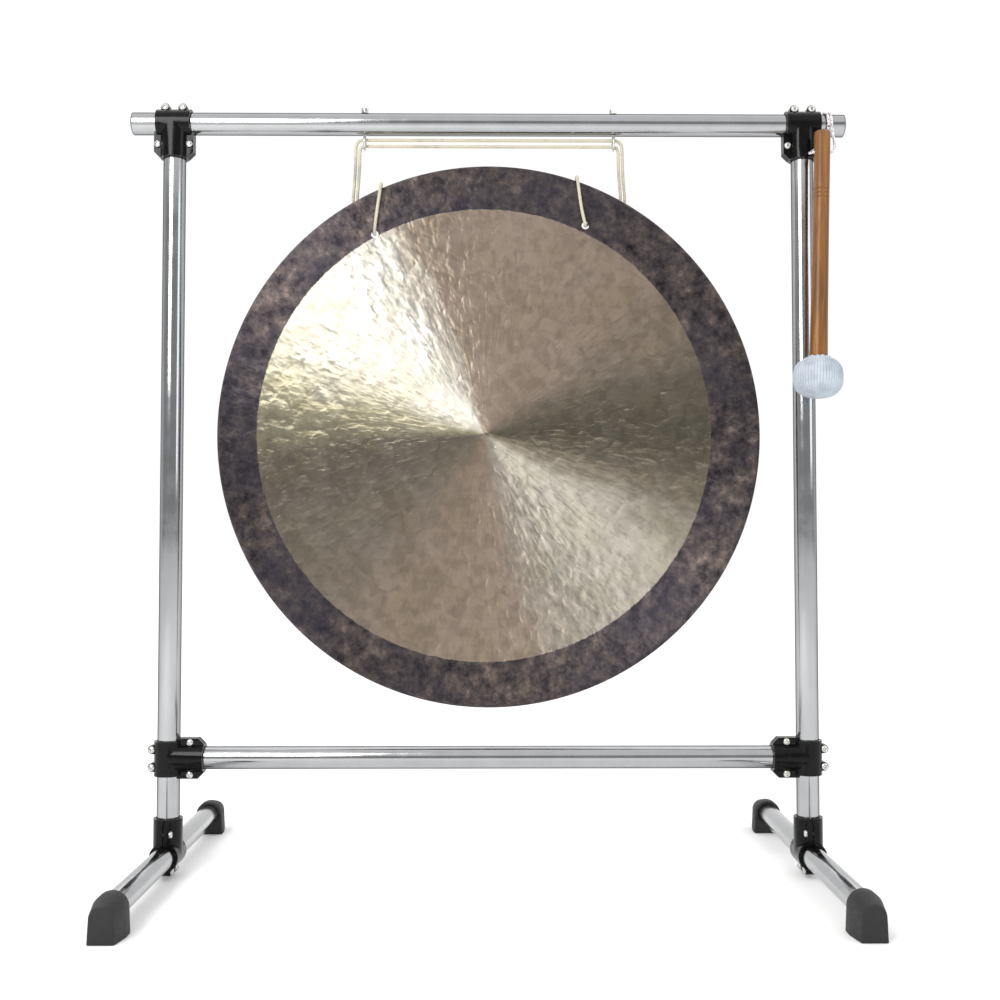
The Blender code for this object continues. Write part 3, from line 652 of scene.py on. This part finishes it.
def mallet_core():
    """The felt-wrapped core, hidden in the cloth cover."""
    g = Graph("mallet_core")
    felt = g.cloud(g.place(), 900.0, 6.0, 0.7)
    color = g.mix(felt, (0.07, 0.06, 0.05), (0.16, 0.14, 0.12))
    return g.finish(Base_Color=color, Roughness=0.9, Normal=g.bump(felt, 0.0004, 0.6))


def mallet_cloth():
    """Pale blue-white ribbed cloth: ribs down the head, crossed by the weave, greyed where it strikes, with
    painted shade in the troughs between the ribs.
    """
    g = Graph("mallet_cloth")
    lay = g.node("Attribute", {}, attribute_name="lay").outputs["Vector"]
    parts = g.node("SeparateXYZ", {"Vector": lay}).outputs
    angle = g.sum("ARCTAN2", parts["Y"], parts["X"])
    rib = g.sum("COSINE", g.sum("MULTIPLY", angle, float(HEAD_RIBS)))
    weft = g.sum("SINE", g.sum("MULTIPLY", parts["Z"], 4200.0))
    weave = g.sum("MULTIPLY_ADD", g.sum("MULTIPLY", rib, weft), 0.25, g.sum("MULTIPLY_ADD", rib, 0.3, 0.5))
    fuzz = g.cloud(g.place(), 1100.0, 5.0, 0.7)
    soil = g.cloud(g.place(), 45.0, 5.0, 0.6)
    color = g.mix(g.span(soil, 0.35, 0.7), (0.50, 0.55, 0.61), (0.33, 0.38, 0.45))
    # Painted shade: the troughs between the ribs are darkened
    color = g.mix(g.span(rib, -1.0, -0.2, 0.42, 0.0), color, (0.16, 0.19, 0.25))
    color = g.mix(g.span(fuzz, 0.5, 0.8, 0.0, 0.35), color, (0.62, 0.67, 0.74))
    relief = g.sum("MULTIPLY_ADD", fuzz, 0.7, weave)
    return g.finish(Base_Color=color, Roughness=0.92, Sheen_Weight=0.1, Sheen_Roughness=0.5,
                    Normal=g.bump(relief, 0.00028, 0.8))


MATERIALS = {maker.__name__: maker() for maker in (
    chrome, clamp_black, gong_bronze, sling_cord, braided_string, mallet_wood, mallet_core, mallet_cloth)}
MATERIALS["chrome_leg"] = chrome("chrome_leg", 0.95)
MATERIALS["steel_bolt"] = steel()
MATERIALS["foot_rubber"] = rubber()


# ---- Pieces ----

def place(name, mesh, slot, body, matrix=Matrix(), finish=None):
    """Adds one piece that rides body, takes slot's finish or a variant of it, and replaces its CAD node."""
    piece = bpy.data.objects.new(name + "_look", mesh)
    piece.matrix_world = matrix
    bpy.context.scene.collection.objects.link(piece)
    mesh.materials.clear()
    mesh.materials.append(MATERIALS[finish or slot])
    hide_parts(name)
    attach(piece, body)
    return piece


def span_of(node):
    """A straight node's middle, the axis it runs along, half its length, and its radius."""
    low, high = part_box(node)
    size = high - low
    axis = max(range(3), key=lambda i: size[i])
    return (low + high) / 2, axis, size[axis] / 2, size[(axis + 1) % 3] / 2


def turn_to(axis):
    """The rotation that takes Z to the world axis of that number."""
    goal = Vector([float(i == axis) for i in range(3)])
    return Vector((0, 0, 1)).rotation_difference(goal).to_matrix().to_4x4()


UPRIGHT_X = span_of("right_upright")[0].x
BAR_MIDDLE, _, BAR_HALF, TUBE_RADIUS = span_of("top_bar")
BAR_Z = BAR_MIDDLE.z
CROSSBAR_Z = span_of("lower_crossbar")[0].z
LEG_Z = span_of("left_leg")[0].z


def stand_tubes():
    """The chromed tubes, their ends slightly rounded; the top bar is drilled for the eye bolts."""
    for node in ("left_upright", "right_upright", "top_bar", "lower_crossbar", "left_leg", "right_leg"):
        middle, axis, half, radius = span_of(node)
        section = [(radius, half), (radius, -half), (radius - TUBE_WALL, -half), (radius - TUBE_WALL, half)]
        section = rounded(section, END_ROUND, 3, closed=True)
        mesh = mesh_from(turned(section, TUBE_SIDES, closed=True), node)
        if node == "top_bar":
            drills = [rod(EYE_SHANK + GAP, (0.03, 0, x), (-0.03, 0, x), 24) for x in (-eye_x(), eye_x())]
            mesh = carved(mesh, [("DIFFERENCE", drill) for drill in drills])
        finish = "chrome_leg" if node.endswith("leg") else "chrome"
        place(node, mesh, "chrome", "stand", Matrix.Translation(middle) @ turn_to(axis), finish)


def eye_x():
    """How far each eye bolt is from the middle."""
    low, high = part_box("right_eye_bolt")
    return (low.x + high.x) / 2


def domed(radius, base, rise, steps):
    """Profile points of a dome: from its top, rise above base, out to radius."""
    turns = [math.pi / 2 * i / steps for i in range(steps + 1)]
    return [(radius * math.sin(t), base + rise * math.cos(t)) for t in turns]


def bar_caps():
    """The domed plugs in the ends of the top bar."""
    plug = TUBE_RADIUS - TUBE_WALL - GAP
    profile = domed(TUBE_RADIUS, GAP, CAP_DOME, 10) + [(plug, GAP), (plug, -CAP_PLUG), (0, -CAP_PLUG)]
    for side, sign in (("left", -1), ("right", 1)):
        mesh = mesh_from(turned(profile, TUBE_SIDES), "bar_cap", 50)
        end = Matrix.Translation((sign * BAR_HALF, 0, BAR_Z)) @ Matrix.Rotation(sign * math.pi / 2, 4, "Y")
        place(f"{side}_bar_cap", mesh, "chrome", "stand", end)


def clamp_outline():
    """The clamp's flat outline: a chamfered flange below and two lugs above."""
    right = [(FLANGE_HALF - FLANGE_CHAMFER, -STEM_END), (FLANGE_HALF, -STEM_END + FLANGE_CHAMFER),
             (FLANGE_HALF, -FLANGE_SHOULDER), (BARREL_HALF, -FLANGE_SHOULDER / 2),
             (BARREL_HALF, BARREL_HALF / 2), (LUG[0] + LUG_RADIUS, BARREL_RADIUS - 0.004)]
    right += arc(LUG, LUG_RADIUS, 0, 180, 18)
    right.append((LUG[0] - LUG_RADIUS, TUBE_RADIUS + 0.001))
    return right + [(-x, z) for x, z in reversed(right)]


def clamp_shell(sign):
    """One shell of a T clamp: sign -1 is the front shell, +1 the rear one."""
    steps = [("UNION", rod(BARREL_RADIUS, (-BARREL_HALF, 0, 0), (BARREL_HALF, 0, 0))),
             ("UNION", rod(BARREL_RADIUS, (0, 0, -STEM_END), (0, 0, 0))),
             ("DIFFERENCE", rod(TUBE_RADIUS + GAP, (-0.1, 0, 0), (0.1, 0, 0))),
             ("DIFFERENCE", rod(TUBE_RADIUS + GAP, (0, 0, -0.1), (0, 0, 0)))]
    for x, z in (LUG, STEM_BOLT):
        for side in (x, -x):
            steps.append(("DIFFERENCE", rod(BOLT_HOLE, (side, -0.03, z), (side, 0.03, z), 24)))
            seat = rod(BOLT_HEAD_RADIUS + GAP, (side, -0.03, z), (side, -PLATE_HALF, z), BOLT_SIDES)
            steps.append(("DIFFERENCE", seat))
    near, far = sorted((sign * SPLIT_HALF, -sign * 0.1))
    steps.append(("DIFFERENCE", box((-0.1, near, -0.1), (0.1, far, 0.1))))
    return carved(slab(clamp_outline(), PLATE_HALF), steps, CLAMP_EDGE)


def bolt():
    """A dome-headed socket bolt along Z, its head above z = 0."""
    rim = GAP + BOLT_RIM
    dome = domed(BOLT_HEAD_RADIUS, rim, BOLT_HEAD_HEIGHT - rim, 8)
    profile = dome + [(BOLT_HEAD_RADIUS, GAP), (BOLT_RADIUS, GAP), (BOLT_RADIUS, -BOLT_REACH),
                      (0, -BOLT_REACH)]
    socket = rod(SOCKET_RADIUS, (0, 0, BOLT_HEAD_HEIGHT - SOCKET_DEPTH), (0, 0, BOLT_HEAD_HEIGHT + 0.002), 6)
    return carved(mesh_from(turned(profile, BOLT_SIDES), "bolt"), [("DIFFERENCE", socket)])


def clamp_frames():
    """Each clamp's name and its matrix: local X along the through tube, local -Z to the butting one."""
    frames = {}
    for side, sign in (("left", -1), ("right", 1)):
        x = sign * UPRIGHT_X
        frames[f"{side}_top"] = Matrix.Translation((x, 0, BAR_Z))
        frames[f"{side}_crossbar"] = (Matrix.Translation((x, 0, CROSSBAR_Z))
                                      @ Matrix.Rotation(sign * math.pi / 2, 4, "Y"))
        frames[f"{side}_leg"] = (Matrix.Translation((x, 0, LEG_Z))
                                 @ Matrix.Rotation(sign * math.pi / 2, 4, "Z")
                                 @ Matrix.Rotation(math.pi, 4, "X"))
    return frames


def clamps():
    """The six T clamps, each of two shells and four bolts."""
    shells = {"front": clamp_shell(-1), "rear": clamp_shell(1)}
    screw = bolt()
    seats = [(x * side, z) for x, z in (LUG, STEM_BOLT) for side in (-1, 1)]
    for clamp, matrix in clamp_frames().items():
        for half, mesh in shells.items():
            place(f"{clamp}_clamp_{half}", mesh, "clamp_black", "stand", matrix)
        for number, (x, z) in enumerate(seats, 1):
            twist = Matrix.Rotation(0.4 * number + x * 90, 4, "Z")
            seat = Matrix.Translation((x, -PLATE_HALF, z)) @ Matrix.Rotation(math.pi / 2, 4, "X") @ twist
            place(f"{clamp}_clamp_bolt_{number}", screw, "steel_bolt", "stand", matrix @ seat)


def foot_section(half, height, y):
    """A D-shaped section: a flat flared sole, upright sides and a round top."""
    points = [(half + FOOT_FLARE, 0)] + arc((0, height - half), half, 0, 180, 33) + [(-half - FOOT_FLARE, 0)]
    return [(x, y, z) for x, z in points]


def feet():
    """The four rubber feet, toes outwards, each with a pocket for the leg's end."""
    sections = ((*FOOT_REAR, FOOT_LENGTH), (*FOOT_REAR, FOOT_LENGTH - 0.018), (*FOOT_TOE, 0))
    bm = lofted([foot_section(*section) for section in sections])
    bm.verts.ensure_lookup_table()
    count = len(bm.verts) // 3
    bm.faces.new(bm.verts[:count])
    bm.faces.new(list(reversed(bm.verts[-count:])))
    blank = carved(mesh_from(bm, "foot"), [], 0.0016, 4)
    floor = FOOT_LENGTH - FOOT_POCKET
    pocket = rod(TUBE_RADIUS + GAP, (0, floor, LEG_Z), (0, FOOT_LENGTH + 0.02, LEG_Z))
    mesh = carved(blank, [("DIFFERENCE", pocket)])
    for side, sign in (("left", -1), ("right", 1)):
        for end, turn in (("front", 0.0), ("rear", math.pi)):
            node = f"{side}_{end}_foot"
            low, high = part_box(node)
            toe = low.y if end == "front" else high.y
            place(node, mesh, "foot_rubber", "stand",
                  Matrix.Translation((sign * UPRIGHT_X, toe, 0)) @ Matrix.Rotation(turn, 4, "Z"))


def eye_bolts():
    """The eye bolts under the top bar and their domed hexagon nuts on it."""
    for side in ("left", "right"):
        low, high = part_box(f"{side}_eye_bolt")
        middle = Vector(((low.x + high.x) / 2, 0, low.z + EYE_RING + EYE_WIRE))
        turns = [2 * math.pi * i / 48 for i in range(48)]
        ring = [Vector((0, EYE_RING * math.cos(t), EYE_RING * math.sin(t))) for t in turns]
        mesh = laid(ring, EYE_WIRE, lambda angle, distance: 1.0, 0.0012)
        top = high.z - middle.z
        shank = [(0, top), (EYE_SHANK - END_ROUND, top), (EYE_SHANK, top - END_ROUND),
                 (EYE_SHANK, EYE_RING + EYE_WIRE + 0.001), (EYE_WIRE, EYE_RING), (0, EYE_RING)]
        mesh = carved(mesh, [("UNION", mesh_from(turned(shank, BOLT_SIDES), "shank"))])
        place(f"{side}_eye_bolt", mesh, "steel_bolt", "stand", Matrix.Translation(middle))
        low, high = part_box(f"{side}_eye_nut")
        radius, height = (high.y - low.y) / 2, high.z - low.z
        dome = domed(radius, height * (1 - NUT_DOME), height * NUT_DOME, 8)
        bore = EYE_SHANK + GAP
        profile = dome + [(radius, 0), (bore, 0), (bore, height * 0.75), (0, height * 0.75)]
        prism = rod(radius, (0, 0, -0.01), (0, 0, 0.02), 6)
        nut = carved(mesh_from(turned(profile, BOLT_SIDES), "nut"), [("INTERSECT", prism)], 0.0003)
        place(f"{side}_eye_nut", nut, "steel_bolt", "stand",
              Matrix.Translation(((low.x + high.x) / 2, 0, low.z)))


def hammered(x, z, depth, size):
    """Uneven relief of that depth, its dents about size across."""
    return depth * noise.noise(Vector((x / size, z / size, 3.7)))


def gong():
    """The hammered disc with its rim turned back, the thickness of its wall, and two holes."""
    low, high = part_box("gong")
    middle = Vector(((low.x + high.x) / 2, 0, (low.z + high.z) / 2))
    rows = [GONG_CORNER * (i / (GONG_ROWS - 1)) for i in range(GONG_ROWS)]
    front = [(radius, GONG_CROWN - GONG_FALL * radius ** 2) for radius in rows]
    heart = (GONG_CORNER, GONG_SHOULDER - RIM_BEND)
    inner = RIM_BEND - GONG_WALL
    near, far = GONG_EDGE - RIM_DRAFT / 2, GONG_EDGE - RIM_DRAFT
    turn_out = arc(heart, RIM_BEND, 82, 0, 9) + [(near, -GONG_LIP * 0.7)]
    lip = rounded([turn_out[-1], (far, -GONG_LIP), (far - GONG_WALL, -GONG_LIP),
                   (near - GONG_WALL, -GONG_LIP * 0.7)], LIP_ROUND, 3)[1:]
    turn_in = arc(heart, inner, 0, 82, 6)
    back = [(radius, depth - GONG_WALL) for radius, depth in reversed(front[::3])]
    rings = []
    for radius, depth in front + turn_out + lip + turn_in + back:
        if radius < 1e-6:
            rings.append([(0, -depth, 0)])
            continue
        ring = []
        for i in range(GONG_SIDES):
            t = 2 * math.pi * i / GONG_SIDES
            x, z = radius * math.cos(t), radius * math.sin(t)
            lift = hammered(x, z, *DENTS) + hammered(x, z, *WAVES)
            if radius > POLISH_RADIUS:
                lift += hammered(x, z, *SCALE)
            fade = min(1.0, radius / 0.02) * min(1.0, max(0.0, (GONG_EDGE - radius) / RIM_BEND))
            ring.append((x, -depth - lift * fade, z))
        rings.append(ring)
    drills = []
    for side in (-1, 1):
        turn = math.pi / 2 + GONG_ROLL + side * HOLE_SPREAD
        x, z = HOLE_CIRCLE * math.cos(turn), HOLE_CIRCLE * math.sin(turn)
        drills.append(rod(HOLE_RADIUS, (x, -0.03, z), (x, 0.03, z), BOLT_SIDES))
    mesh = carved(mesh_from(lofted(rings), "gong"), [("DIFFERENCE", drill) for drill in drills])
    place("gong", mesh, "gong_bronze", "gong_and_sling", Matrix.Translation(middle))


def sling():
    """The cord that carries the gong: three strands laid together, in one loop."""
    def strands(angle, distance):
        lobe = abs(math.cos(1.5 * (angle - distance * 2 * math.pi / CORD_PITCH)))
        return 0.84 + 0.16 * lobe ** 0.7

    route = smooth_route(SLING_LEFT + SLING_RIGHT, 6, True)
    mesh = laid(route, CORD_RADIUS, strands, CORD_STEP)
    place("sling_cord", mesh, "sling_cord", "gong_and_sling")


def string():
    """The braided string that hangs the mallet on the end of the top bar."""
    def braid(angle, distance):
        run = distance * 2 * math.pi / STRING_PITCH
        return 0.94 + 0.06 * math.cos(3 * angle + run) * math.cos(3 * angle - run)

    reach = TUBE_RADIUS + STRING_RADIUS + 0.0006
    turns = []
    for i in range(STRING_POINTS * 3):
        share = i / (STRING_POINTS * 3 - 1)
        turn = STRING_SWEEP[0] + share * STRING_SWEEP[1]
        x = STRING_X[0] + share * (STRING_X[1] - STRING_X[0])
        turns.append(Vector((x, reach * math.cos(turn), BAR_Z + reach * math.sin(turn))))
    route = smooth_route(STRING_START, 6, False) + turns + smooth_route(STRING_END, 6, False)
    mesh = laid(route, STRING_RADIUS, braid, STRING_STEP)
    place("mallet_string", mesh, "braided_string", "mallet")


def mallet_frames():
    """The mallet's lean, and the matrices of its handle's top and of its head's middle."""
    lean = Vector((0, 0, 1)).rotation_difference(MALLET_TOP - MALLET_HEART).to_matrix().to_4x4()
    return Matrix.Translation(MALLET_TOP) @ lean, Matrix.Translation(MALLET_HEART) @ lean


def handle():
    """The turned wooden handle, with three grooves and the hole for the string."""
    length = (MALLET_HEART - MALLET_TOP).length + HANDLE_BITE
    top = rounded([(0, 0), (HANDLE_TOP_RADIUS, 0), (HANDLE_TOP_RADIUS, -0.080)], 0.0032, 8)
    grooves = []
    for depth in GROOVES:
        grooves += [(HANDLE_TOP_RADIUS - GROOVE_DEPTH * math.cos(t), -depth + GROOVE_HALF * math.sin(t))
                    for t in (math.pi / 2 - math.pi * i / 8 for i in range(9))]
    waist = []
    for i in range(1, 13):
        share = i / 12
        swell = share ** 1.6
        waist.append((HANDLE_TOP_RADIUS + (HANDLE_LOW_RADIUS - HANDLE_TOP_RADIUS) * swell,
                      -0.100 - (length - 0.100) * share))
    profile = top[:-1] + grooves + waist + [(0, -length)]
    hole = rod(STRING_HOLE_RADIUS, (-0.03, 0, -STRING_HOLE_DROP), (0.03, 0, -STRING_HOLE_DROP), 24)
    mesh = carved(mesh_from(turned(profile, TUBE_SIDES), "handle"), [("DIFFERENCE", hole)])
    place("mallet_handle", mesh, "mallet_wood", "mallet", mallet_frames()[0])


def cloth_head():
    """The stuffed cloth cover: ribbed cloth drawn in round the handle with gathers and a soft hem."""
    mouth = HANDLE_LOW_RADIUS + 0.0015
    first = math.acos((mouth / HEAD_RADIUS) ** (1 / HEAD_SQUARENESS))
    columns = HEAD_RIBS * 6
    rings, lay = [], []
    travel = 0.0
    before = None
    hem = [(mouth - 0.0006, 0.0035), (mouth + 0.0004, 0.0052), (mouth + 0.0020, 0.0050),
           (mouth + 0.0026, 0.0030)]
    curve = []
    for i in range(HEAD_ROWS):
        t = first + (-math.pi / 2 - first) * i / HEAD_ROWS
        curve.append((HEAD_RADIUS * math.cos(t) ** HEAD_SQUARENESS,
                      HEAD_HALF_HEIGHT * math.copysign(abs(math.sin(t)) ** HEAD_SQUARENESS, t)))
    lip = curve[0][1]
    curve = [(radius, lip + rise - 0.004) for radius, rise in hem] + curve[1:]
    for radius, height in curve:
        if before:
            travel += math.hypot(radius - before[0], height - before[1])
        before = (radius, height)
        pull = max(0.0, 1 - travel / GATHER_REACH) ** 1.4
        ring = []
        for k in range(columns):
            t = 2 * math.pi * k / columns
            wobble = noise.noise(Vector((math.cos(t) * 2.2, math.sin(t) * 2.2, 1.3)))
            gather = math.cos(HEAD_GATHERS * t + 2.4 * wobble)
            rib = math.cos(HEAD_RIBS * t)
            out = GATHER_DEPTH * pull * gather + RIB_DEPTH * rib * min(1.0, radius / 0.02)
            out += 0.0006 * noise.noise(Vector((math.cos(t) * 1.5, math.sin(t) * 1.5, height * 60)))
            reach = radius + out - 0.0005
            ring.append((reach * math.cos(t), reach * math.sin(t), height + GATHER_LIFT * pull * gather))
            lay.append((math.cos(t), math.sin(t), travel))
        rings.append(ring)
    rings.append([(0, 0, -HEAD_HALF_HEIGHT)])
    lay.append((1.0, 0.0, travel))
    mesh = mesh_from(lofted(rings), "cloth_head", 80)
    kept = mesh.attributes.new("lay", "FLOAT_VECTOR", "POINT")
    for item, value in zip(kept.data, lay):
        item.vector = value
    piece = place("mallet_cover", mesh, "mallet_cloth", "mallet", mallet_frames()[1])


def hidden_core():
    """The CAD core stays, inside the cloth, with its own material."""
    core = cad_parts["mallet_core"]
    core.data.materials.clear()
    core.data.materials.append(MATERIALS["mallet_core"])


# ---- Stage ----

def studio():
    """The pale floor, the world, the lights and the camera."""
    scene = bpy.context.scene
    scene.view_settings.view_transform = "Standard"
    g = Graph("floor")
    tone = g.cloud(g.place(), 3.0, 2.0)
    g.finish(Base_Color=g.mix(tone, (0.90, 0.90, 0.90), (0.93, 0.93, 0.93)), Roughness=0.9)
    bm = bmesh.new()
    bmesh.ops.create_grid(bm, x_segments=1, y_segments=1, size=FLOOR_HALF)
    floor = bpy.data.objects.new("floor", mesh_from(bm, "floor"))
    floor.data.materials.append(g.material)
    scene.collection.objects.link(floor)

    world = bpy.data.worlds.new("studio")
    scene.world = world
    world.use_nodes = True
    nodes, links = world.node_tree.nodes, world.node_tree.links
    direction = nodes.new("ShaderNodeTexCoord")
    parts = nodes.new("ShaderNodeSeparateXYZ")
    links.new(direction.outputs["Generated"], parts.inputs[0])
    ramp = nodes.new("ShaderNodeMapRange")
    ramp.interpolation_type = "SMOOTHSTEP"
    for name, value in (("From Min", WORLD_TURN[0]), ("From Max", WORLD_TURN[1]),
                        ("To Min", WORLD_FRONT), ("To Max", WORLD_BACK)):
        ramp.inputs[name].default_value = value
    links.new(parts.outputs["Y"], ramp.inputs["Value"])
    links.new(ramp.outputs["Result"], nodes["Background"].inputs["Strength"])
    nodes["Background"].inputs["Color"].default_value = (1.0, 1.0, 1.0, 1.0)

    for name, spot, size, power, color in LIGHTS:
        light = bpy.data.lights.new(name, "AREA")
        light.shape = "RECTANGLE"
        light.size, light.size_y = size
        light.energy = power
        light.color = color
        lamp = bpy.data.objects.new(name, light)
        lamp.location = spot
        lamp.rotation_euler = (LIGHT_AIM - Vector(spot)).to_track_quat("-Z", "Y").to_euler()
        scene.collection.objects.link(lamp)

    sky = bpy.data.lights.new("sky", "SUN")
    sky.energy = SKY_POWER
    sky.angle = SKY_SPREAD
    scene.collection.objects.link(bpy.data.objects.new("sky", sky))

    data = bpy.data.cameras.new("camera")
    data.lens = LENS
    data.sensor_width = SENSOR
    camera = bpy.data.objects.new("camera", data)
    camera.location = CAMERA_SPOT
    camera.rotation_euler = (CAMERA_PITCH, 0, CAMERA_YAW)
    scene.collection.objects.link(camera)
    scene.camera = camera


studio()
stand_tubes()
bar_caps()
clamps()
feet()
eye_bolts()
gong()
sling()
string()
handle()
cloth_head()
hidden_core()
